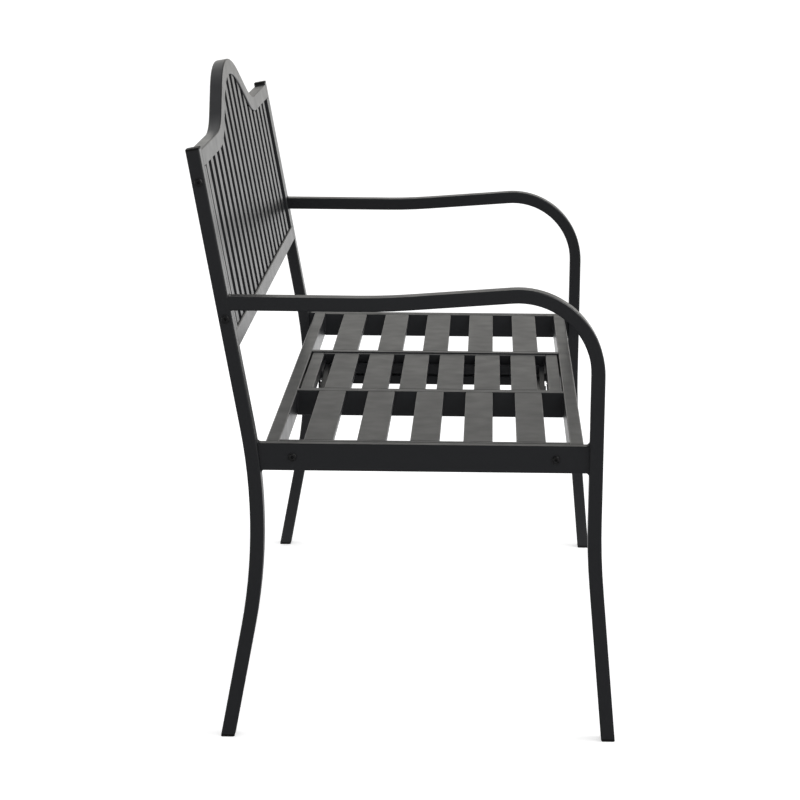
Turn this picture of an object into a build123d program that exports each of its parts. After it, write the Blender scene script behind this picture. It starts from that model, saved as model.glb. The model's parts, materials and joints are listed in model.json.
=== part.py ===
from build123d import *
import os
from math import asin, atan2, cos, degrees, hypot, radians, sin, tan

# Garden bench of powder coated steel tube, with a table in the middle of its seat.
# The table lies flush with the seat and is raised on a scissor lift under it.
# Millimetres. X runs along the bench, +X is the sitter's left, the front faces -Y, +Z is up.
# The origin is on the floor, under the middle of the bench.

# Side frames
bench_width = 1270.0
leg_width = 30.0
leg_depth = 20.0
leg_corner = 1.6
rear_foot_y = 250.4
knee_y = 191.7
knee_z = 316.2
post_top_y = 296.1
post_top_z = 866.8
knee_radius = 810.0
front_foot_y = -311.3
shin_y = -286.1
shin_z = 279.8
shin_radius = 1000.0
arm_front_y = -289.3
arm_front_z = 670.4
arm_bend_radius = 116.0
arm_dip_y = 21.6
arm_dip_z = 646.5
arm_dip_radius = 950.0
arm_root_z = 647.0
side_rail_width = 20.0
side_rail_corner = 1.2
weld_size = 5.0

# Plastic plugs in the tube ends
plug_rim = 4.0
plug_stem = 16.0
tube_wall = 1.5
plug_fit = 0.05
foot_bevel = 1.2
cap_rim = 3.0
cap_bevel = 1.0

# Seat panel
seat_height = 442.0
seat_rail_height = 40.0
seat_front_y = -269.4
seat_rear_y = 194.6
seat_rail_width = 20.0
end_rail_width = 12.0
divider_inner_x = 178.0
seat_corner = 1.2
seat_slats = 5
seat_slat_width = 43.0
slat_thickness = 10.0
slat_corner = 1.0

# Table
table_drop = 1.5
table_slit = 2.5
table_rail_width = 20.0
table_end_width = 12.0
table_rail_height = 20.0
table_slats = 6
table_slat_width = 42.0

# Back panel
back_height = 290.5
back_rail_height = 25.0
back_rail_drop = 5.5
back_corner = 1.2
stile_width = 20.0
back_slats = 17
back_slat_width = 32.5
back_slat_recess = 3.0
hump_half_width = 291.0
hump_angle = 22.5
peak_radius = 377.5
shoulder_radius = 309.5

# Bolts that hold the panels to the side frames, and their threaded inserts
bolt_size = 6.0
bolt_head_size = 12.0
bolt_head_height = 3.6
bolt_head_taper = 25.0
bolt_socket = 4.0
bolt_socket_depth = 2.2
bolt_fit = 0.3
shank_sides = 12
insert_size = 9.0
insert_length = 9.0
insert_fit = 0.05
bolt_end_gap = 0.5
seat_bolt_rear_inset = 40.4
seat_bolt_front_inset = 40.9
back_bolt_high = 46.0
back_bolt_low = 246.5

# Scissor lift under the table
arm_thickness = 8.0
arm_height = 12.0
arm_gap = 0.5
low_pivot_drop = 38.5
fold_rise = 15.5
pivot_inset = 30.0
raise_angle = 38.0
rod_size = 8.0
rod_fit = 0.08
pin_head_size = 13.0
pin_head_height = 1.8
crossbar_size = 15.0
crossbar_corner = 1.0
low_crossbar_drop = 3.0
plate_thickness = 3.0
plate_edge = 7.0
flange_length = 14.0
seat_plate_gap = 1.5
slot_fit = 0.3
slot_end_play = 1.0
rod_end_play = 0.3
tab_length = 30.0
tab_reach = 12.5
tab_thickness = 3.0
tab_gap = 0.3
tab_spread = 240.0

# One overrun serves every cut
overrun = 20.0

# Places worked out from the sizes above
side_x = bench_width / 2 - leg_width / 2
leg_inner_x = bench_width / 2 - leg_width
rail_z = seat_height - seat_rail_height / 2
rail_inner_x = side_x - side_rail_width / 2
divider_x = divider_inner_x + seat_rail_width / 2
divider_outer_x = divider_inner_x + seat_rail_width
bay_end_x = rail_inner_x - end_rail_width
front_inner_y = seat_front_y + seat_rail_width
rear_inner_y = seat_rear_y - seat_rail_width
seat_middle_y = (front_inner_y + rear_inner_y) / 2
table_half_x = divider_inner_x - table_slit
table_half_y = (rear_inner_y - front_inner_y) / 2 - table_slit
table_inner_x = table_half_x - table_end_width
table_inner_y = table_half_y - table_rail_width
table_top = seat_height - table_drop
table_rail_z = table_top - table_rail_height / 2
lean = atan2(post_top_y - knee_y, post_top_z - knee_z)
post_length = hypot(post_top_y - knee_y, post_top_z - knee_z)
low_pivot_z = seat_height - low_pivot_drop
high_pivot_z = low_pivot_z + fold_rise
pivot_x = pivot_inset - divider_inner_x
slide_x = -pivot_x
arm_length = hypot(slide_x - pivot_x, fold_rise)
fold_angle = degrees(asin(fold_rise / arm_length))
arm_centre = ((pivot_x + slide_x) / 2, (low_pivot_z + high_pivot_z) / 2)
raised_slide_x = pivot_x + arm_length * cos(radians(fold_angle + raise_angle))

parts = {}


def tube_section(width, height, corner):
    """The outline of a rectangular tube, with its corners broken."""
    outline = Rectangle(width, height)
    return chamfer(outline.vertices(), corner)


def straight_tube(start, end, across, width, height, corner):
    """A rectangular tube from start to end; across is the direction of its width."""
    run = Vector(*end) - Vector(*start)
    plane = Plane(origin=start, x_dir=across, z_dir=run)
    return extrude(plane * tube_section(width, height, corner), amount=run.length)


def bent_tube(path, width, depth, corner, across):
    """A rectangular tube along a path of straight runs and tangent arcs."""
    plane = Plane(origin=path @ 0, x_dir=across, z_dir=path % 0)
    return sweep(plane * tube_section(width, depth, corner), path=path)


def side_point(x, point):
    """A point (y, z) of the side profile, in the plane x."""
    return (x, point[0], point[1])


def past(inner, outer, extra):
    """The point that lies extra beyond outer, seen from inner."""
    span = hypot(outer[0] - inner[0], outer[1] - inner[1])
    share = 1 + extra / span
    return (inner[0] + (outer[0] - inner[0]) * share, inner[1] + (outer[1] - inner[1]) * share)


def rod(start, end, diameter):
    """A round bar between two points."""
    run = Vector(*end) - Vector(*start)
    return extrude(Plane(origin=start, z_dir=run) * Circle(diameter / 2), amount=run.length)


def group(solids):
    """Separate solids that share one node."""
    return Compound(children=list(solids))


# Side frames: a leaning rear leg that is also the back post, and a front leg bent into the armrest
rear_foot = (rear_foot_y, 0)
knee = (knee_y, knee_z)
post_top = (post_top_y, post_top_z)
front_foot = (front_foot_y, 0)
shin = (shin_y, shin_z)
arm_front = (arm_front_y, arm_front_z)
arm_dip = (arm_dip_y, arm_dip_z)
arm_root = (knee_y + (arm_root_z - knee_z) * tan(lean), arm_root_z)


def above_rim(tube):
    """Cuts a leg level, where the rim of its foot plug begins."""
    return split(tube, bisect_by=Plane.XY.offset(plug_rim), keep=Keep.TOP)


def plug_stem_solid(foot, joint_above, x, clearance):
    """The stem of a foot plug, inside the leg tube that leans from foot to joint_above."""
    lean_run = Vector(*side_point(x, joint_above)) - Vector(*side_point(x, foot))
    start = Vector(*side_point(x, foot)) + lean_run * (plug_rim / lean_run.Z)
    bore = 2 * (tube_wall - clearance)
    section = Plane(origin=start) * Rectangle(leg_width - bore, leg_depth - bore)
    return extrude(section, amount=plug_stem + clearance, dir=lean_run.normalized())


def foot_plug(foot, joint_above, x):
    """A plastic plug: a rim that stands on the floor and a stem pushed up the tube."""
    lean_run = Vector(*side_point(x, joint_above)) - Vector(*side_point(x, foot))
    slant = lean_run.length / lean_run.Z
    foot_plane = Plane(origin=side_point(x, foot))
    section = foot_plane * tube_section(leg_width, leg_depth * slant, leg_corner)
    rim = extrude(section, amount=plug_rim * slant, dir=lean_run.normalized())
    rim = chamfer(rim.faces().sort_by(Axis.Z)[0].edges(), foot_bevel)
    return rim + plug_stem_solid(foot, joint_above, x, 0)


def rear_leg(x):
    points = [past(knee, rear_foot, overrun), knee, post_top]
    path = Plane.YZ.offset(x) * FilletPolyline(*points, radius=knee_radius)
    tube = above_rim(bent_tube(path, leg_width, leg_depth, leg_corner, (1, 0, 0)))
    tube -= plug_stem_solid(rear_foot, knee, x, plug_fit)
    return tube - cap_stem(x, plug_fit)


def post_top_plane(x, drop):
    """The plane square across the post, drop below its cut top."""
    along = Vector(0, sin(lean), cos(lean))
    return Plane(origin=Vector(*side_point(x, post_top)) - along * drop, x_dir=(1, 0, 0), z_dir=along)


def cap_stem(x, clearance):
    bore = 2 * (tube_wall - clearance)
    section = post_top_plane(x, plug_stem + clearance) * Rectangle(leg_width - bore, leg_depth - bore)
    return extrude(section, amount=plug_stem + clearance)


def post_cap(x):
    rim = extrude(post_top_plane(x, 0) * tube_section(leg_width, leg_depth, leg_corner), amount=cap_rim)
    top_face = rim.faces().sort_by(Axis.Z)[-1]
    return chamfer(top_face.edges(), cap_bevel) + cap_stem(x, 0)


def front_leg(x, post):
    points = [arm_root, arm_dip, arm_front, shin, past(shin, front_foot, overrun)]
    radii = [arm_dip_radius, arm_bend_radius, shin_radius]
    path = Plane.YZ.offset(x) * FilletPolyline(*points, radius=radii)
    tube = above_rim(bent_tube(path, leg_width, leg_depth, leg_corner, (1, 0, 0)))
    return tube - post - plug_stem_solid(front_foot, shin, x, plug_fit)


def side_rail(x, legs):
    """The rail under the armrest, notched to both legs."""
    start = (x, arm_front_y, rail_z)
    end = (x, knee_y + leg_depth, rail_z)
    rail = straight_tube(start, end, (1, 0, 0), side_rail_width, seat_rail_height, side_rail_corner)
    for leg in legs:
        rail -= leg
    return rail.solids().sort_by(SortBy.VOLUME)[-1]


def rail_weld(x, corner, along, up):
    """A straight weld between a leg and the rail; along and up point out of their corner."""
    y, z = corner
    behind = y - along * weld_size
    corners = [(y + along * weld_size, z), (behind, z + up * 2 * weld_size), (behind, z)]
    outline = make_face(Polyline(*corners, close=True))
    half_width = side_rail_width / 2 - side_rail_corner
    return extrude(Plane.YZ.offset(x) * outline, amount=half_width, both=True)


def rail_welds(x, rail, legs):
    """The welds above and below both ends of a side rail."""
    welds = []
    faces = rail.faces().sort_by(Axis.Z)
    for up, face in ((1, faces[-1]), (-1, faces[0])):
        box = face.bounding_box()
        for along, y in ((1, box.min.Y), (-1, box.max.Y)):
            weld = rail_weld(x, (y, box.min.Z), along, up)
            for leg in legs:
                weld -= leg
            welds += weld.solids()
    return welds


# Bolts run along X, with their heads on the outer face of each side frame
def bolt_places():
    """Each bolt: its side, its (y, z), the face under its head and the outer end of its insert."""
    along = (sin(lean), cos(lean))
    places = []
    for sign in (1, -1):
        for y in (seat_front_y + seat_bolt_front_inset, seat_rear_y - seat_bolt_rear_inset):
            places.append((sign, (y, rail_z), side_x + side_rail_width / 2, rail_inner_x))
        for drop in (back_bolt_high, back_bolt_low):
            point = (post_top_y - drop * along[0], post_top_z - drop * along[1])
            places.append((sign, point, bench_width / 2, leg_inner_x))
    return places


def bolt(place):
    """A tapered button head with a hexagon socket, on a plain shank drawn with flat sides."""
    sign, point, head_x, insert_x = place
    plane = Plane(origin=side_point(sign * head_x, point), z_dir=(sign, 0, 0))
    head = extrude(plane * Circle(bolt_head_size / 2), amount=bolt_head_height, taper=bolt_head_taper)
    socket_plane = plane.offset(bolt_head_height - bolt_socket_depth)
    socket = socket_plane * RegularPolygon(bolt_socket / 2, 6, major_radius=False)
    head -= extrude(socket, amount=bolt_socket_depth)
    length = head_x - insert_x + insert_length - bolt_end_gap
    return head + extrude(plane * RegularPolygon(bolt_size / 2, shank_sides), amount=-length)


def bolt_hole(place):
    """A clearance hole from outside, as deep as the outer end of the insert."""
    sign, point, head_x, insert_x = place
    plane = Plane(origin=side_point(sign * insert_x, point), z_dir=(sign, 0, 0))
    hole = RegularPolygon(bolt_size / 2 + bolt_fit, shank_sides, major_radius=False)
    return extrude(plane * hole, amount=head_x - insert_x + overrun)


def insert_socket(place, clearance):
    """The six-sided body of an insert, or the socket that it is pressed into."""
    sign, point, head_x, insert_x = place
    plane = Plane(origin=side_point(sign * insert_x, point), z_dir=(-sign, 0, 0))
    across = insert_size / 2 + clearance
    return extrude(plane * RegularPolygon(across, 6, major_radius=False), amount=insert_length + clearance)


def threaded_insert(place):
    """A six-sided sleeve around the shank, as long as its socket is deep."""
    sign, point, head_x, insert_x = place
    plane = Plane(origin=side_point(sign * insert_x, point), z_dir=(-sign, 0, 0))
    bore = RegularPolygon(bolt_size / 2 + insert_fit, shank_sides, major_radius=False)
    return insert_socket(place, 0) - extrude(plane * bore, amount=insert_length)


bolts = bolt_places()
welds = []

for side, sign in (("left", 1), ("right", -1)):
    x = sign * side_x
    leg = rear_leg(x)
    arm = front_leg(x, leg)
    rail = side_rail(x, (leg, arm))
    welds += rail_welds(x, rail, (leg, arm))
    for place in bolts:
        if place[0] == sign:
            leg -= bolt_hole(place)
            rail -= bolt_hole(place)
    parts["rear_leg_" + side] = leg
    parts["front_leg_armrest_" + side] = arm
    parts["side_rail_" + side] = rail
    parts["foot_plug_front_" + side] = foot_plug(front_foot, shin, x)
    parts["foot_plug_rear_" + side] = foot_plug(rear_foot, knee, x)

parts["side_rail_welds"] = group(welds)
parts["post_caps"] = group(post_cap(sign * side_x) for sign in (1, -1))
parts["frame_bolts"] = group(bolt(place) for place in bolts)
parts["threaded_inserts"] = group(threaded_insert(place) for place in bolts)


# Seat panel: two long rails, two end rails, two dividers and the slats of the two seats
def seat_bar(start, end, across, width):
    return straight_tube(start, end, across, width, seat_rail_height, seat_corner)


front_rail_y = seat_front_y + seat_rail_width / 2
rear_rail_y = seat_rear_y - seat_rail_width / 2
for name, y in (("front", front_rail_y), ("rear", rear_rail_y)):
    start = (-rail_inner_x, y, rail_z)
    end = (rail_inner_x, y, rail_z)
    parts["seat_" + name + "_rail"] = seat_bar(start, end, (0, 1, 0), seat_rail_width)


def slat_places(count, width, inner_start, inner_end):
    """The middle of each slat, spread with equal gaps between two inner faces."""
    gap = (inner_end - inner_start - count * width) / (count + 1)
    return [inner_start + gap + width / 2 + n * (width + gap) for n in range(count)]


for side, sign in (("left", 1), ("right", -1)):
    start = (sign * (bay_end_x + end_rail_width / 2), front_inner_y, rail_z)
    end = (start[0], rear_inner_y, rail_z)
    end_rail = seat_bar(start, end, (1, 0, 0), end_rail_width)
    for place in bolts:
        end_rail -= insert_socket(place, insert_fit)
    parts["seat_end_rail_" + side] = end_rail
    start = (sign * divider_x, front_inner_y, rail_z)
    end = (sign * divider_x, rear_inner_y, rail_z)
    parts["seat_divider_" + side] = seat_bar(start, end, (1, 0, 0), seat_rail_width)
    slat_z = seat_height - slat_thickness / 2
    for number, y in enumerate(slat_places(seat_slats, seat_slat_width, front_inner_y, rear_inner_y), 1):
        start = (sign * divider_outer_x, y, slat_z)
        end = (sign * bay_end_x, y, slat_z)
        slat = straight_tube(start, end, (0, 1, 0), seat_slat_width, slat_thickness, slat_corner)
        parts["seat_slat_" + side + "_" + str(number)] = slat


# Table: two long rails, two end rails and six slats
def table_bar(start, end, across, width):
    return straight_tube(start, end, across, width, table_rail_height, seat_corner)


for name, sign in (("front", -1), ("rear", 1)):
    y = seat_middle_y + sign * (table_half_y - table_rail_width / 2)
    start = (-table_half_x, y, table_rail_z)
    end = (table_half_x, y, table_rail_z)
    parts["table_" + name + "_rail"] = table_bar(start, end, (0, 1, 0), table_rail_width)
table_rear_inner_y = seat_middle_y + table_inner_y
table_front_inner_y = seat_middle_y - table_inner_y
for side, sign in (("left", 1), ("right", -1)):
    start = (sign * (table_half_x - table_end_width / 2), table_front_inner_y, table_rail_z)
    end = (start[0], table_rear_inner_y, table_rail_z)
    parts["table_end_rail_" + side] = table_bar(start, end, (1, 0, 0), table_end_width)
table_slat_z = table_top - slat_thickness / 2
table_slat_ys = slat_places(table_slats, table_slat_width, table_front_inner_y, table_rear_inner_y)
for number, y in enumerate(table_slat_ys, 1):
    start = (-table_inner_x, y, table_slat_z)
    end = (table_inner_x, y, table_slat_z)
    slat = straight_tube(start, end, (0, 1, 0), table_slat_width, slat_thickness, slat_corner)
    parts["table_slat_" + str(number)] = slat


# Back panel: drawn in the plane of the posts, with its X along the bench and its Y up the posts
panel_top = post_length - back_rail_drop + cap_rim
top_rail_line = panel_top - back_rail_height / 2
bottom_rail_line = panel_top - back_height + back_rail_height / 2
back_plane = Plane(origin=(0, knee_y, knee_z), x_dir=(1, 0, 0), z_dir=(0, -cos(lean), sin(lean)))
hump_apex = hump_half_width * tan(radians(hump_angle))


def top_rail_centre():
    """The centre line of the top rail: level shoulders and a hump of tangent arcs."""
    peak = (0, top_rail_line + hump_apex)
    right = [(-leg_inner_x, top_rail_line), (-hump_half_width, top_rail_line)]
    left = [(hump_half_width, top_rail_line), (leg_inner_x, top_rail_line)]
    radii = [shoulder_radius, peak_radius, shoulder_radius]
    return FilletPolyline(*right, peak, *left, radius=radii)


def panel_box(x, low, high, width, depth):
    """An upright bar of the back panel, in the plane of the posts."""
    start = back_plane.from_local_coords(Vector(x, low, 0))
    end = back_plane.from_local_coords(Vector(x, high, 0))
    return straight_tube(tuple(start), tuple(end), (1, 0, 0), width, depth, back_corner)


rail_path = back_plane * top_rail_centre()
top_rail = bent_tube(rail_path, leg_depth, back_rail_height, back_corner, tuple(back_plane.z_dir))
parts["back_top_rail"] = top_rail
start = back_plane.from_local_coords(Vector(-leg_inner_x, bottom_rail_line, 0))
end = back_plane.from_local_coords(Vector(leg_inner_x, bottom_rail_line, 0))
bottom_rail = straight_tube(tuple(start), tuple(end), tuple(back_plane.z_dir), leg_depth,
                            back_rail_height, back_corner)
parts["back_bottom_rail"] = bottom_rail
stile_low = bottom_rail_line + back_rail_height / 2
stile_high = top_rail_line - back_rail_height / 2
for side, sign in (("left", 1), ("right", -1)):
    x = sign * (leg_inner_x - stile_width / 2)
    stile = panel_box(x, stile_low, stile_high, stile_width, leg_depth)
    for place in bolts:
        stile -= insert_socket(place, insert_fit)
    parts["back_stile_" + side] = stile


def grille():
    """The upright slats, cut off where they meet the underside of the top rail."""
    centre = top_rail_centre()
    corners = [(leg_inner_x, top_rail_line), (leg_inner_x, stile_low)]
    corners += [(-leg_inner_x, stile_low), (-leg_inner_x, top_rail_line)]
    floor_line = Polyline(*corners)
    under_rail = make_face(centre.edges() + floor_line.edges())
    opening = leg_inner_x - stile_width
    height = top_rail_line + hump_apex - stile_low
    bars = Sketch()
    for x in slat_places(back_slats, back_slat_width, -opening, opening):
        bars += Location((x, stile_low + height / 2)) * Rectangle(back_slat_width, height)
    depth = leg_depth / 2 - back_slat_recess
    slats = extrude(back_plane * (bars & under_rail), amount=depth, both=True)
    return (slats - top_rail).solids()


parts["back_slats"] = group(grille())


# Scissor lift: two frames of two arms each, crossed and pinned at their middles
def rear_of(y):
    """The place at the rear of the table that mirrors a place at its front."""
    return 2 * seat_middle_y - y


table_plate_y = table_front_inner_y
outer_arm_y = table_plate_y + plate_thickness + arm_gap
inner_arm_y = outer_arm_y + arm_thickness + arm_gap
seat_plate_y = table_plate_y - seat_plate_gap - plate_thickness


def both_ends(make):
    """The same piece made at the front and mirrored to the rear of the table."""
    front = make()
    return [front, front.mirror(Plane.XZ.offset(-seat_middle_y))]


def lift_arm(low, high, y, holes):
    """A flat bar with round ends between two (x, z) places, drilled at the places in holes."""
    rise = degrees(atan2(high[1] - low[1], high[0] - low[0]))
    middle = ((low[0] + high[0]) / 2, (low[1] + high[1]) / 2)
    plane = Plane(origin=(0, y, 0), x_dir=(1, 0, 0), z_dir=(0, -1, 0))
    bar = plane * (Location(middle, rise) * SlotCenterToCenter(arm_length, arm_height))
    arm = extrude(bar, amount=-arm_thickness)
    for place, diameter in holes:
        arm -= rod((place[0], y - overrun, place[1]), (place[0], y + overrun, place[1]), diameter)
    return arm


frame_pivot = (pivot_x, low_pivot_z)
frame_slide = (slide_x, low_pivot_z)
table_pivot = (pivot_x, high_pivot_z)
table_slide = (slide_x, high_pivot_z)
running_hole = rod_size + 2 * rod_fit

outer_holes = [(frame_pivot, rod_size), (arm_centre, rod_size), (table_slide, rod_size)]
inner_holes = [(table_pivot, rod_size), (arm_centre, running_hole), (frame_slide, rod_size)]
outer_arms = both_ends(lambda: lift_arm(frame_pivot, table_slide, outer_arm_y, outer_holes))
inner_arms = both_ends(lambda: lift_arm(frame_slide, table_pivot, inner_arm_y, inner_holes))
parts["outer_arm_front"], parts["outer_arm_rear"] = outer_arms
parts["inner_arm_front"], parts["inner_arm_rear"] = inner_arms


def cross_rod(place, end_y):
    """A round rod across the lift, as far as end_y and its mirrored place."""
    return rod((place[0], end_y, place[1]), (place[0], rear_of(end_y), place[1]), rod_size)


def crossbar(place, arm_y, end_y, drop):
    """A square tube between two arms, drop below the round spigots that go through the arms."""
    start = (place[0], arm_y + arm_thickness, place[1] - drop)
    end = (place[0], rear_of(start[1]), start[2])
    tube = straight_tube(start, end, (1, 0, 0), crossbar_size, crossbar_size, crossbar_corner)
    return tube + cross_rod(place, end_y)


def centre_pin():
    """A headed pin through an outer and an inner arm."""
    head_y = outer_arm_y - pin_head_height
    tail_y = inner_arm_y + arm_thickness + arm_gap
    x, z = arm_centre
    shank = rod((x, head_y, z), (x, tail_y + pin_head_height, z), rod_size)
    heads = [rod((x, y, z), (x, y + pin_head_height, z), pin_head_size) for y in (head_y, tail_y)]
    return shank + heads[0] + heads[1]


parts["outer_pivot_rod"] = cross_rod(frame_pivot, seat_plate_y)
parts["inner_pivot_rod"] = cross_rod(table_pivot, table_plate_y + rod_end_play)
parts["outer_crossbar"] = crossbar(table_slide, outer_arm_y, table_plate_y + rod_end_play, 0)
parts["inner_crossbar"] = crossbar(frame_slide, inner_arm_y, seat_plate_y, low_crossbar_drop)
parts["centre_pins"] = group(both_ends(centre_pin))


def slot_cut(z, y):
    """The slot that a spigot slides in, from its folded to its raised place."""
    travel = slide_x - raised_slide_x + 2 * slot_end_play
    middle = (slide_x + raised_slide_x) / 2
    plane = Plane(origin=(middle, y - overrun, z), x_dir=(1, 0, 0), z_dir=(0, 1, 0))
    return extrude(plane * SlotCenterToCenter(travel, rod_size + 2 * slot_fit), amount=2 * overrun)


def ear_plate(root_x, ear_x, ear_z, root_low, root_high, y):
    """An upright plate that tapers from a straight root to a round ear."""
    ear = Location((ear_x, ear_z)) * Circle(plate_edge)
    root = Polyline((root_x, root_low), (root_x, root_high))
    outline = make_hull(ear.edges() + root.edges())
    plane = Plane(origin=(0, y + plate_thickness, 0), x_dir=(1, 0, 0), z_dir=(0, -1, 0))
    return extrude(plane * outline, amount=plate_thickness)


def weld_flange(sign, low, high):
    """The bent end of a seat plate, flat against the divider."""
    x = sign * (divider_inner_x - plate_thickness / 2)
    place = (x, seat_plate_y + flange_length / 2, (low + high) / 2)
    return Location(place) * Box(plate_thickness, flange_length, high - low)


def pivot_hole(z, y):
    return rod((pivot_x, y - overrun, z), (pivot_x, y + overrun, z), running_hole)


divider_low = seat_height - seat_rail_height
seat_root = (divider_low, low_pivot_z + plate_edge)
table_root = (table_top - table_rail_height, table_top - slat_thickness)


def seat_pivot_bracket():
    ear = ear_plate(-divider_inner_x, pivot_x, low_pivot_z, *seat_root, seat_plate_y)
    return ear + weld_flange(-1, *seat_root) - pivot_hole(low_pivot_z, seat_plate_y)


def seat_channel():
    plate = ear_plate(divider_inner_x, raised_slide_x, low_pivot_z, *seat_root, seat_plate_y)
    plate += ear_plate(divider_inner_x, slide_x, low_pivot_z, *seat_root, seat_plate_y)
    return plate + weld_flange(1, *seat_root) - slot_cut(low_pivot_z, seat_plate_y)


def table_pivot_bracket():
    ear = ear_plate(-table_inner_x, pivot_x, high_pivot_z, *table_root, table_plate_y)
    return ear - pivot_hole(high_pivot_z, table_plate_y)


def table_channel():
    plate = ear_plate(table_inner_x, raised_slide_x, high_pivot_z, *table_root, table_plate_y)
    plate += ear_plate(table_inner_x, slide_x, high_pivot_z, *table_root, table_plate_y)
    return plate - slot_cut(high_pivot_z, table_plate_y)


parts["seat_pivot_brackets"] = group(both_ends(seat_pivot_bracket))
parts["seat_channels"] = group(both_ends(seat_channel))
parts["table_pivot_brackets"] = group(both_ends(table_pivot_bracket))
parts["table_channels"] = group(both_ends(table_channel))


def rest_tab(sign, y):
    """A tab on a divider, under the end of the folded table."""
    x = sign * (divider_inner_x - tab_reach / 2)
    z = table_top - table_rail_height - tab_gap - tab_thickness / 2
    return Location((x, y, z)) * Box(tab_reach, tab_length, tab_thickness)


tab_ys = (seat_middle_y - tab_spread / 2, seat_middle_y + tab_spread / 2)
parts["table_rest_tabs"] = group(rest_tab(sign, y) for sign in (1, -1) for y in tab_ys)

for name, shape in parts.items():
    export_step(shape, os.path.join("parts", name + ".step"))
print(len(parts), "nodes; folded arm angle", round(fold_angle, 2), "table rise",
      round(arm_length * sin(radians(fold_angle + raise_angle)) - fold_rise, 1))
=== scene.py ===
import json
from math import cos, pi, radians, sin

import bmesh
import bpy
from mathutils import Matrix, Vector


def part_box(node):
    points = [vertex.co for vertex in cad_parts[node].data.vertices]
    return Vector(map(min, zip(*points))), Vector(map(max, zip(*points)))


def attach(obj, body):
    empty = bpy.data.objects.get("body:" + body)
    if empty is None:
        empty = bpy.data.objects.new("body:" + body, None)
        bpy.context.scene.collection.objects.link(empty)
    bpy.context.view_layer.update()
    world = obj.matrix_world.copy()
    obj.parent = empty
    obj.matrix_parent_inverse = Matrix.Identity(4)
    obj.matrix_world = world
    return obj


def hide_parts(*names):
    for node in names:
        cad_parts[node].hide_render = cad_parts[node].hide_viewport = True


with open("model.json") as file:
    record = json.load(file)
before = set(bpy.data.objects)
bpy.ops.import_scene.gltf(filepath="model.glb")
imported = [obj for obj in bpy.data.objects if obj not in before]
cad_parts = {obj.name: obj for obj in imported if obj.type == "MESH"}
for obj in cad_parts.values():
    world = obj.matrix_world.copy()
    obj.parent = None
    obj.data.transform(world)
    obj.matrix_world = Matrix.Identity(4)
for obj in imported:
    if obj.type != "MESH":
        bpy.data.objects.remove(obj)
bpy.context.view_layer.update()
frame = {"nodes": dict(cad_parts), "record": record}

# Sizes in metres
MM = 0.001
SAME_POINT = 0.02 * MM
SAME_LEVEL = 0.1 * MM
TUBE_CORNER = 1.6 * MM

LEG_EDGE = 1.1 * MM
SLAT_EDGE = 0.8 * MM
RAIL_EDGE = 0.6 * MM
SMALL_EDGE = 0.3 * MM

WELD_PITCH = 2.6 * MM
WELD_TIP = 0.2 * MM
ARM_WELD = 4 * MM
SLAT_WELD = 2.6 * MM
SLAT_WELD_INSET = 4 * MM
SEAT_WELD = 1.8 * MM

BOLT_RIM = 0.3 * MM
SOCKET_WIDTH = 4 * MM
SOCKET_DEPTH = 2.2 * MM
SOCKET_POINT = 0.2 * MM

FLOOR_WIDTH = 60
LAMP_WIDTH = 2.5

# Angles, counts and shares of the edges, beads and bolts
FLAT_ANGLE = radians(0.5)
SHARP_ANGLE = radians(24)
EDGE_SEGMENTS = 3
BEAD_SHARES = (0, 0.2, 0.4, 0.6, 0.8, 1)
BEAD_FULLNESS = 0.24
RINGS_PER_RIPPLE = 4
RIPPLE_HEIGHT = 0.08
RIPPLE_BEND = 0.45
BOLT_SIDES = 48
DOME_RINGS = 6
UPRIGHT_SHARE = 0.22

# Colours and levels of the studio; the fades are what reflections see of it
FLOOR_PALE = (0.86, 0.86, 0.86)
FLOOR_DARK = (0.08, 0.08, 0.08)
WHITE = (1, 1, 1)
WARM_WHITE = (1, 0.985, 0.94)
FLOOR_GLOW = 0.5
NEAR_FLOOR_X, NEAR_FLOOR_GLOW = (-0.5, 2.6), 0.05
FAR_FLOOR_X, FAR_FLOOR_GLOW = (3.2, 5.4), 0.9
SKY_LEVEL = 0.75
CAMERA_SIDE_X, CAMERA_SIDE_LEVEL = (-0.75, 0.1), 0.3
OVERHEAD_Z, OVERHEAD_LEVEL = (0.02, 0.43), 0.05

# The camera, solved from the photograph
CAMERA_PLACE = (-4.8406, -0.1280, 1.2871)
CAMERA_TURN = radians(1.714)
CAMERA_TILT = radians(10.478)
CAMERA_ROLL = radians(-0.292)
CAMERA_LENS = 133.3
CAMERA_SENSOR = 36
CAMERA_REACH = 200


# Shader nodes
def material(name, colour, roughness, specular):
    """A new material with its Principled shader; the caller adds the surface detail."""
    made = bpy.data.materials.new(name)
    made.use_nodes = True
    shader = made.node_tree.nodes["Principled BSDF"]
    shader.inputs["Base Color"].default_value = (*colour, 1)
    shader.inputs["Roughness"].default_value = roughness
    shader.inputs["Specular IOR Level"].default_value = specular
    return made, shader


def noise(tree, scale, detail):
    """The grey of a noise texture in the object's own metres."""
    place = tree.nodes.new("ShaderNodeTexCoord")
    made = tree.nodes.new("ShaderNodeTexNoise")
    made.inputs["Scale"].default_value = scale
    made.inputs["Detail"].default_value = detail
    tree.links.new(place.outputs["Object"], made.inputs["Vector"])
    return made.outputs["Fac"]


def ramp(tree, source, before, after, smooth=False):
    """Maps a grey from one range to another, and holds it at the ends."""
    made = tree.nodes.new("ShaderNodeMapRange")
    if smooth:
        made.interpolation_type = "SMOOTHSTEP"
    made.inputs["From Min"].default_value, made.inputs["From Max"].default_value = before
    made.inputs["To Min"].default_value, made.inputs["To Max"].default_value = after
    tree.links.new(source, made.inputs["Value"])
    return made.outputs["Result"]


def combined(tree, operation, first, second):
    """Two greys put together by a math operation."""
    made = tree.nodes.new("ShaderNodeMath")
    made.operation = operation
    tree.links.new(first, made.inputs[0])
    tree.links.new(second, made.inputs[1])
    return made.outputs["Value"]


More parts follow.
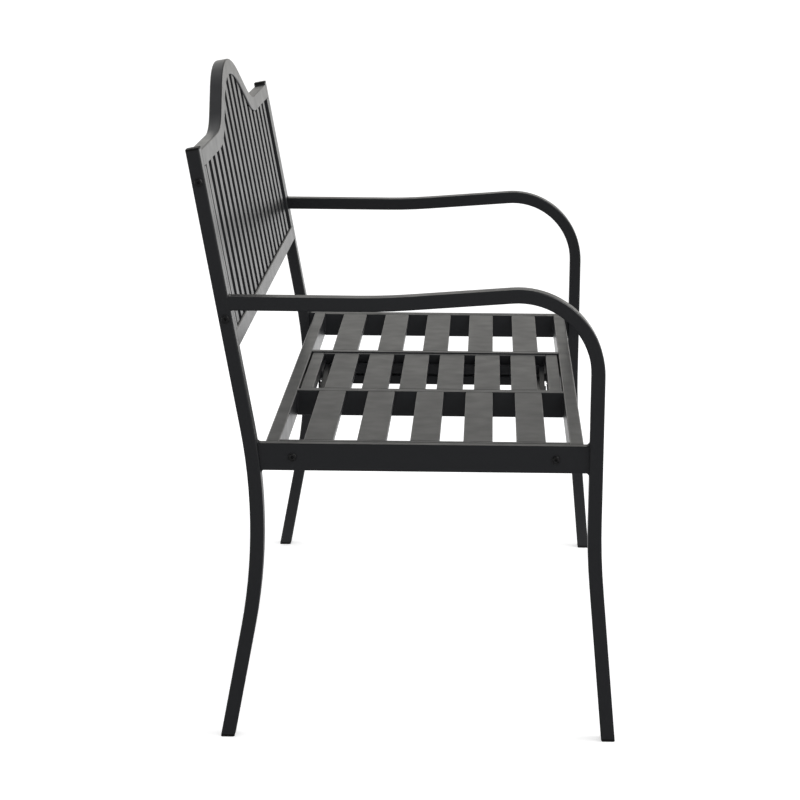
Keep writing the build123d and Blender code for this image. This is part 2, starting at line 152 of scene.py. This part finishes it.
def axes_of(tree, kind):
    """The X, Y and Z greys of a texture coordinate."""
    place = tree.nodes.new("ShaderNodeTexCoord")
    made = tree.nodes.new("ShaderNodeSeparateXYZ")
    tree.links.new(place.outputs[kind], made.inputs["Vector"])
    return made.outputs


def colour_mix(tree, target, factor, first, second):
    """Paints a socket between two colours by a grey factor."""
    made = tree.nodes.new("ShaderNodeMix")
    made.data_type = "RGBA"
    made.inputs["A"].default_value = (*first, 1)
    made.inputs["B"].default_value = (*second, 1)
    tree.links.new(factor, made.inputs["Factor"])
    tree.links.new(made.outputs["Result"], target)


def bump(tree, shader, source, strength, distance, before=None):
    """Raises bumps from a grey by a distance in metres, on top of an earlier bump if one is given."""
    made = tree.nodes.new("ShaderNodeBump")
    made.inputs["Strength"].default_value = strength
    made.inputs["Distance"].default_value = distance
    tree.links.new(source, made.inputs["Height"])
    if before:
        tree.links.new(before, made.inputs["Normal"])
    tree.links.new(made.outputs["Normal"], shader.inputs["Normal"])
    return made.outputs["Normal"]


# Materials
def powder_coat():
    """Satin black powder coat: a fine grain and orange peel, and slow changes of gloss."""
    made, shader = material("powder_coat", (0.016, 0.017, 0.0195), roughness=0.36, specular=0.5)
    tree = made.node_tree
    cloud = noise(tree, scale=30, detail=5)
    grain = noise(tree, scale=900, detail=2)
    peel = noise(tree, scale=260, detail=2)
    tree.links.new(ramp(tree, cloud, (0.3, 0.7), (0.29, 0.35)), shader.inputs["Roughness"])
    tone = ramp(tree, grain, (0.35, 0.65), (0, 1))
    darker, lighter = (0.0168, 0.0178, 0.0203), (0.0204, 0.0213, 0.0237)
    colour_mix(tree, shader.inputs["Base Color"], tone, darker, lighter)
    fine = bump(tree, shader, grain, strength=0.3, distance=0.04 * MM)
    bump(tree, shader, peel, strength=0.25, distance=0.08 * MM, before=fine)
    return made


def plug_plastic():
    """Moulded black plastic with a spark-eroded grain."""
    made, shader = material("plug_plastic", (0.008, 0.008, 0.0085), roughness=0.55, specular=0.35)
    tree = made.node_tree
    grain = noise(tree, scale=1400, detail=3)
    tree.links.new(ramp(tree, grain, (0.3, 0.7), (0.5, 0.62)), shader.inputs["Roughness"])
    bump(tree, shader, grain, strength=0.5, distance=0.06 * MM)
    return made


def bolt_black():
    """Black oxide on steel, in smears of lighter tone and duller gloss."""
    made, shader = material("bolt_black", (0.016, 0.016, 0.017), roughness=0.33, specular=0.5)
    tree = made.node_tree
    smear = noise(tree, scale=350, detail=4)
    tree.links.new(ramp(tree, smear, (0.3, 0.7), (0.26, 0.45)), shader.inputs["Roughness"])
    tone = ramp(tree, smear, (0.55, 0.75), (0, 1))
    darker, lighter = (0.012, 0.012, 0.013), (0.03, 0.03, 0.031)
    colour_mix(tree, shader.inputs["Base Color"], tone, darker, lighter)
    return made


def plated_steel():
    """Zinc plated steel with a faint cloudiness."""
    made, shader = material("plated_steel", (0.5, 0.5, 0.51), roughness=0.35, specular=0.5)
    shader.inputs["Metallic"].default_value = 1
    tree = made.node_tree
    cloud = noise(tree, scale=600, detail=3)
    tree.links.new(ramp(tree, cloud, (0.3, 0.7), (0.3, 0.5)), shader.inputs["Roughness"])
    darker, lighter = (0.42, 0.42, 0.43), (0.58, 0.58, 0.57)
    colour_mix(tree, shader.inputs["Base Color"], cloud, darker, lighter)
    bump(tree, shader, cloud, strength=0.2, distance=0.03 * MM)
    return made


finishes = {
    "frame_coat": powder_coat(),
    "plug_plastic": plug_plastic(),
    "bolt_black": bolt_black(),
    "plated_steel": plated_steel(),
}
for part in frame["record"]["subparts"]:
    node = frame["nodes"][part["node"]]
    node.data.materials.clear()
    node.data.materials.append(finishes[part["material_slot"]])


# Edges of the CAD nodes
def edge_width(name):
    """How far the edges of a node are rounded."""
    if name.startswith(("rear_leg", "front_leg", "foot_plug", "post_caps")):
        return LEG_EDGE
    if "slat" in name:
        return SLAT_EDGE
    if name.startswith(("table_pivot", "table_channels")):
        return SMALL_EDGE
    if name.startswith(("side_rail", "seat_", "back_", "table_", "outer_crossbar", "inner_crossbar")):
        return RAIL_EDGE
    return SMALL_EDGE


def soften(node, width):
    """Rounds a node's edges with modifiers, and keeps its flat faces flat in the shading."""
    weld = node.modifiers.new("join", "WELD")
    weld.merge_threshold = SAME_POINT
    flat = node.modifiers.new("flats", "DECIMATE")
    flat.decimate_type = "DISSOLVE"
    flat.angle_limit = FLAT_ANGLE
    edge = node.modifiers.new("edges", "BEVEL")
    edge.limit_method = "ANGLE"
    edge.angle_limit = SHARP_ANGLE
    edge.width = width
    edge.segments = EDGE_SEGMENTS
    edge.use_clamp_overlap = True
    shade = node.modifiers.new("shade", "WEIGHTED_NORMAL")
    shade.weight = 60


for name, node in frame["nodes"].items():
    soften(node, edge_width(name))


# Weld beads and bolts, placed from the CAD nodes
def loose_parts(name):
    """The corner points of each separate solid in a CAD node."""
    shape = bmesh.new()
    shape.from_mesh(frame["nodes"][name].data)
    bmesh.ops.remove_doubles(shape, verts=shape.verts, dist=SAME_POINT)
    seen = set()
    solids = []
    for first in shape.verts:
        if first in seen:
            continue
        waiting, points = [first], []
        while waiting:
            vert = waiting.pop()
            if vert in seen:
                continue
            seen.add(vert)
            points.append(vert.co.copy())
            waiting += [edge.other_vert(vert) for edge in vert.link_edges]
        solids.append(points)
    shape.free()
    return solids


def finished_piece(shape, name, body, slot, *replaced):
    """Turns a bmesh into a smooth piece of the bench that rides on a body."""
    bmesh.ops.recalc_face_normals(shape, faces=shape.faces)
    for face in shape.faces:
        face.smooth = True
    mesh = bpy.data.meshes.new(name)
    shape.to_mesh(mesh)
    shape.free()
    piece = bpy.data.objects.new(name, mesh)
    bpy.context.scene.collection.objects.link(piece)
    mesh.materials.append(finishes[slot])
    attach(piece, body)
    if replaced:
        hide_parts(*replaced)


def bridge(shape, rings):
    """Joins rings of points, all of one count, into a closed skin."""
    made = [[shape.verts.new(point) for point in ring] for ring in rings]
    count = len(made[0])
    for low, high in zip(made, made[1:]):
        for k in range(count):
            after = (k + 1) % count
            shape.faces.new((low[k], low[after], high[after], high[k]))
    shape.faces.new(made[0])
    shape.faces.new(made[-1])


def bead(shape, start, end, first_face, second_face, size):
    """A hollow weld bead in the corner from start to end, with crescent ripples and round ends.

    The two face directions point from the corner along the faces that the bead joins.
    """
    length = (end - start).length
    count = max(2 * RINGS_PER_RIPPLE, round(length / WELD_PITCH * RINGS_PER_RIPPLE))
    rings = []
    for step in range(count + 1):
        along = length * step / count
        from_end = min(1, (min(along, length - along) + WELD_TIP) / size)
        swell = size * (1 - (1 - from_end) ** 2) ** 0.5
        ring = [start.lerp(end, step / count)]
        for share in BEAD_SHARES:
            crescent = RIPPLE_BEND * WELD_PITCH * (1 - (2 * share - 1) ** 2)
            ripple = 1 + RIPPLE_HEIGHT * sin(2 * pi * (along + crescent) / WELD_PITCH)
            middle = 2 * share * (1 - share) * BEAD_FULLNESS
            first = (1 - share) ** 2 + middle
            second = share ** 2 + middle
            ring.append(ring[0] + (first_face * first + second_face * second) * swell * ripple)
        rings.append(ring)
    bridge(shape, rings)


def side_rail_beads():
    """The beads above and below each end of the side rails, where they meet the legs."""
    shape = bmesh.new()
    for points in loose_parts("side_rail_welds"):
        rail_low, rail_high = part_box("side_rail_left" if points[0].x > 0 else "side_rail_right")
        rail_middle = (Vector(rail_low) + Vector(rail_high)) / 2
        level = min((rail_low[2], rail_high[2]), key=lambda z: min(abs(p.z - z) for p in points))
        on_rail = [p for p in points if abs(p.z - level) < SAME_LEVEL]
        corner = max(on_rail, key=lambda p: abs(p.y - rail_middle.y))
        along_rail = min(on_rail, key=lambda p: abs(p.y - rail_middle.y)) - corner
        along_leg = max(points, key=lambda p: abs(p.z - level)) - corner
        along_rail.x = along_leg.x = 0
        size = along_rail.length
        across = sorted({round(p.x, 5) for p in points})
        start, end = [Vector((x, corner.y, corner.z)) for x in (across[0], across[-1])]
        bead(shape, start, end, along_rail.normalized(), along_leg.normalized(), size)
    finished_piece(shape, "side_rail_beads", "frame", "frame_coat", "side_rail_welds")


def armrest_beads():
    """The beads over and under each armrest's rear end, where it meets the post."""
    end_depth, below_top = 8 * MM, 5 * MM
    shape = bmesh.new()
    for side in ("left", "right"):
        points = loose_parts("front_leg_armrest_" + side)[0]
        top = max(points, key=lambda p: p.y)
        near_end = [p for p in points if p.y > top.y - end_depth]
        low = max((p for p in near_end if p.z < top.z - below_top), key=lambda p: p.y)
        up_post = top - low
        up_post.x = 0
        up_post.normalize()
        x_low, x_high = min(p.x for p in points), max(p.x for p in points)
        for level, turn in ((max(p.z for p in near_end), 1), (min(p.z for p in near_end), -1)):
            y = top.y + (level - top.z) * up_post.y / up_post.z
            ends = [Vector((x, y, level)) for x in (x_low + TUBE_CORNER, x_high - TUBE_CORNER)]
            bead(shape, *ends, Vector((0, -1, 0)), up_post * turn, ARM_WELD)
    finished_piece(shape, "armrest_beads", "frame", "frame_coat")


def seat_corner_beads():
    """Upright beads inside the corners of the two seats' frames."""
    shape = bmesh.new()
    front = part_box("seat_front_rail")[1][1]
    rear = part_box("seat_rear_rail")[0][1]
    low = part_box("seat_front_rail")[0][2] + SLAT_WELD_INSET
    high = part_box("seat_front_rail")[1][2] - SLAT_WELD_INSET
    for side, sign in (("left", 1), ("right", -1)):
        divider = [corner[0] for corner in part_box("seat_divider_" + side)]
        end_rail = [corner[0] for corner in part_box("seat_end_rail_" + side)]
        faces = ((max(divider, key=abs), sign), (min(end_rail, key=abs), -sign))
        for x, inward in faces:
            for y, turn in ((front, 1), (rear, -1)):
                ends = Vector((x, y, low)), Vector((x, y, high))
                bead(shape, *ends, Vector((inward, 0, 0)), Vector((0, turn, 0)), SEAT_WELD)
    finished_piece(shape, "seat_corner_beads", "frame", "frame_coat")


def slat_beads(name, body, starts_with):
    """Beads under both ends of flat slats, where they meet the rails that they lie between."""
    shape = bmesh.new()
    for node in frame["nodes"]:
        if not node.startswith(starts_with):
            continue
        low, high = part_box(node)
        front, rear = low[1] + SLAT_WELD_INSET, high[1] - SLAT_WELD_INSET
        for x, inward in ((low[0], 1), (high[0], -1)):
            ends = Vector((x, front, low[2])), Vector((x, rear, low[2]))
            bead(shape, *ends, Vector((inward, 0, 0)), Vector((0, 0, -1)), SLAT_WELD)
    finished_piece(shape, name, body, "frame_coat")


def back_slat_beads():
    """Beads behind both ends of the upright slats."""
    shape = bmesh.new()
    for points in loose_parts("back_slats"):
        corners = []
        for x in (min(p.x for p in points), max(p.x for p in points)):
            side = sorted((p for p in points if abs(p.x - x) < SAME_LEVEL), key=lambda p: p.z)
            corners.append((side[0], side[1], max(side[-2:], key=lambda p: p.y)))
        low, front, high = corners[0]
        up = (high - low).normalized()
        out = (low - front).normalized()
        for place, turn in ((0, 1), (2, -1)):
            first, second = corners[0][place], corners[1][place]
            inset = (second - first).normalized() * SLAT_WELD_INSET
            bead(shape, first + inset, second - inset, out, up * turn, SLAT_WELD)
    finished_piece(shape, "back_slat_beads", "frame", "frame_coat")


def bolt_profile(tip, seat, crown, shank, radius):
    """A bolt's outline from its tip over the head into the socket: place, size, six-sided or not."""
    upright = seat + UPRIGHT_SHARE * (crown - seat)
    socket = SOCKET_WIDTH / 2
    flat = socket / cos(pi / 6) + BOLT_RIM
    profile = [(tip, shank - BOLT_RIM, False), (tip + BOLT_RIM, shank, False), (seat, shank, False)]
    profile += [(seat, radius - BOLT_RIM / 2, False), (seat + BOLT_RIM / 2, radius, False)]
    profile += [(upright, radius, False)]
    for k in range(1, DOME_RINGS + 1):
        turn = pi / 2 * k / DOME_RINGS
        place = upright + (crown - upright) * sin(turn)
        profile.append((place, flat + (radius - flat) * cos(turn), False))
    profile += [(crown, socket + BOLT_RIM / 2, True), (crown - BOLT_RIM / 2, socket, True)]
    profile += [(crown - SOCKET_DEPTH, socket, True)]
    profile += [(crown - SOCKET_DEPTH - BOLT_RIM, SOCKET_POINT, False)]
    return profile


def bolt_ring(x, y, z, size, six_sided):
    """A ring of points round a bolt's axis; size is its radius, or half the width across flats."""
    points = []
    for k in range(BOLT_SIDES):
        turn = 2 * pi * k / BOLT_SIDES
        reach = size / cos(turn % (pi / 3) - pi / 6) if six_sided else size
        points.append(Vector((x, y + reach * cos(turn), z + reach * sin(turn))))
    return points


def button_bolts():
    """Domed button heads with a hexagon socket, each on its round shank."""
    shape = bmesh.new()
    for points in loose_parts("frame_bolts"):
        outward = 1 if points[0].x > 0 else -1
        y = sum(p.y for p in points) / len(points)
        z = sum(p.z for p in points) / len(points)
        places = [abs(p.x) for p in points]
        from_axis = [((p.y - y) ** 2 + (p.z - z) ** 2) ** 0.5 for p in points]
        tip, crown = min(places), max(places)
        below_crown = [x for x in places if x < crown - MM]
        seat = max(below_crown, key=lambda x: sum(abs(x - other) < SAME_LEVEL for other in places))
        shank = max(distance for x, distance in zip(places, from_axis) if x < tip + MM)
        rings = []
        for x, size, six_sided in bolt_profile(tip, seat, crown, shank, max(from_axis)):
            rings.append(bolt_ring(outward * x, y, z, size, six_sided))
        bridge(shape, rings)
    finished_piece(shape, "button_bolts", "frame", "bolt_black", "frame_bolts")


side_rail_beads()
armrest_beads()
seat_corner_beads()
slat_beads("seat_slat_beads", "frame", "seat_slat_")
slat_beads("table_slat_beads", "table", "table_slat_")
back_slat_beads()
button_bolts()


# Studio
def studio_floor():
    """A wide floor, white to the camera, that keeps the bench's shadow.

    Reflections see it darken beside and under the bench towards the photograph's side, and dim a
    little far beyond it.
    """
    bpy.ops.mesh.primitive_plane_add(size=FLOOR_WIDTH, location=(0, 0, 0))
    floor = bpy.context.object
    floor.name = "studio_floor"
    made, shader = material("studio_floor", FLOOR_PALE, roughness=0.9, specular=0.1)
    tree = made.node_tree
    light_path = tree.nodes.new("ShaderNodeLightPath").outputs
    along = axes_of(tree, "Object")["X"]
    near = ramp(tree, along, NEAR_FLOOR_X, (1, 0))
    dark = combined(tree, "MULTIPLY", near, light_path["Is Glossy Ray"])
    colour_mix(tree, shader.inputs["Base Color"], dark, FLOOR_PALE, FLOOR_DARK)
    seen = combined(tree, "MAXIMUM", light_path["Is Camera Ray"], light_path["Is Glossy Ray"])
    glow = ramp(tree, seen, (0, 1), (0, FLOOR_GLOW))
    kept = ramp(tree, dark, (0, 1), (1, NEAR_FLOOR_GLOW))
    far = ramp(tree, along, FAR_FLOOR_X, (0, 1))
    beyond = combined(tree, "MULTIPLY", far, light_path["Is Glossy Ray"])
    shown = combined(tree, "MULTIPLY", kept, ramp(tree, beyond, (0, 1), (1, FAR_FLOOR_GLOW)))
    shader.inputs["Emission Color"].default_value = (*WHITE, 1)
    tree.links.new(combined(tree, "MULTIPLY", glow, shown), shader.inputs["Emission Strength"])
    floor.data.materials.append(made)


def studio_world():
    """A soft sky, white to the camera; reflections see it dark overhead, and dim at -X."""
    world = bpy.data.worlds.new("studio")
    bpy.context.scene.world = world
    world.use_nodes = True
    tree = world.node_tree
    back = tree.nodes["Background"]
    light_path = tree.nodes.new("ShaderNodeLightPath").outputs
    colour_mix(tree, back.inputs["Color"], light_path["Is Glossy Ray"], WHITE, WARM_WHITE)
    seen = combined(tree, "MAXIMUM", light_path["Is Camera Ray"], light_path["Is Glossy Ray"])
    seen = combined(tree, "MAXIMUM", seen, light_path["Is Transmission Ray"])
    level = ramp(tree, seen, (0, 1), (SKY_LEVEL, 1))
    axes = axes_of(tree, "Generated")
    side = ramp(tree, axes["X"], CAMERA_SIDE_X, (CAMERA_SIDE_LEVEL, 1), smooth=True)
    height = ramp(tree, axes["Z"], OVERHEAD_Z, (1, OVERHEAD_LEVEL), smooth=True)
    shade = tree.nodes.new("ShaderNodeMix")
    shade.inputs["A"].default_value = 1
    tree.links.new(light_path["Is Glossy Ray"], shade.inputs["Factor"])
    tree.links.new(combined(tree, "MULTIPLY", side, height), shade.inputs["B"])
    strength = combined(tree, "MULTIPLY", level, shade.outputs["Result"])
    tree.links.new(strength, back.inputs["Strength"])


def soft_light(name, place, target, power):
    """A large square lamp that points at a target."""
    lamp = bpy.data.lights.new(name, "AREA")
    lamp.shape = "SQUARE"
    lamp.size = LAMP_WIDTH
    lamp.energy = power
    holder = bpy.data.objects.new(name, lamp)
    bpy.context.scene.collection.objects.link(holder)
    holder.location = place
    holder.rotation_euler = (Vector(target) - Vector(place)).to_track_quat("-Z", "Y").to_euler()


def photo_camera():
    """The camera at the photograph's viewing angle."""
    forward = Vector((
        cos(CAMERA_TURN) * cos(CAMERA_TILT), sin(CAMERA_TURN) * cos(CAMERA_TILT), -sin(CAMERA_TILT)))
    level_right = Vector((sin(CAMERA_TURN), -cos(CAMERA_TURN), 0))
    level_down = forward.cross(level_right)
    right = cos(CAMERA_ROLL) * level_right + sin(CAMERA_ROLL) * level_down
    down = cos(CAMERA_ROLL) * level_down - sin(CAMERA_ROLL) * level_right
    lens = bpy.data.cameras.new("photo_camera")
    lens.sensor_width = CAMERA_SENSOR
    lens.lens = CAMERA_LENS
    lens.clip_end = CAMERA_REACH
    holder = bpy.data.objects.new("photo_camera", lens)
    bpy.context.scene.collection.objects.link(holder)
    axes = Matrix((right, -down, -forward)).transposed()
    holder.matrix_world = Matrix.Translation(CAMERA_PLACE) @ axes.to_4x4()
    bpy.context.scene.camera = holder


studio_floor()
studio_world()
soft_light("key", place=(-0.8, -3.0, 3.6), target=(0, 0, 0.4), power=60)
soft_light("rim", place=(2.8, 1.6, 2.6), target=(0, 0, 0.5), power=6)
photo_camera()

bpy.context.scene.view_settings.view_transform = "Standard"
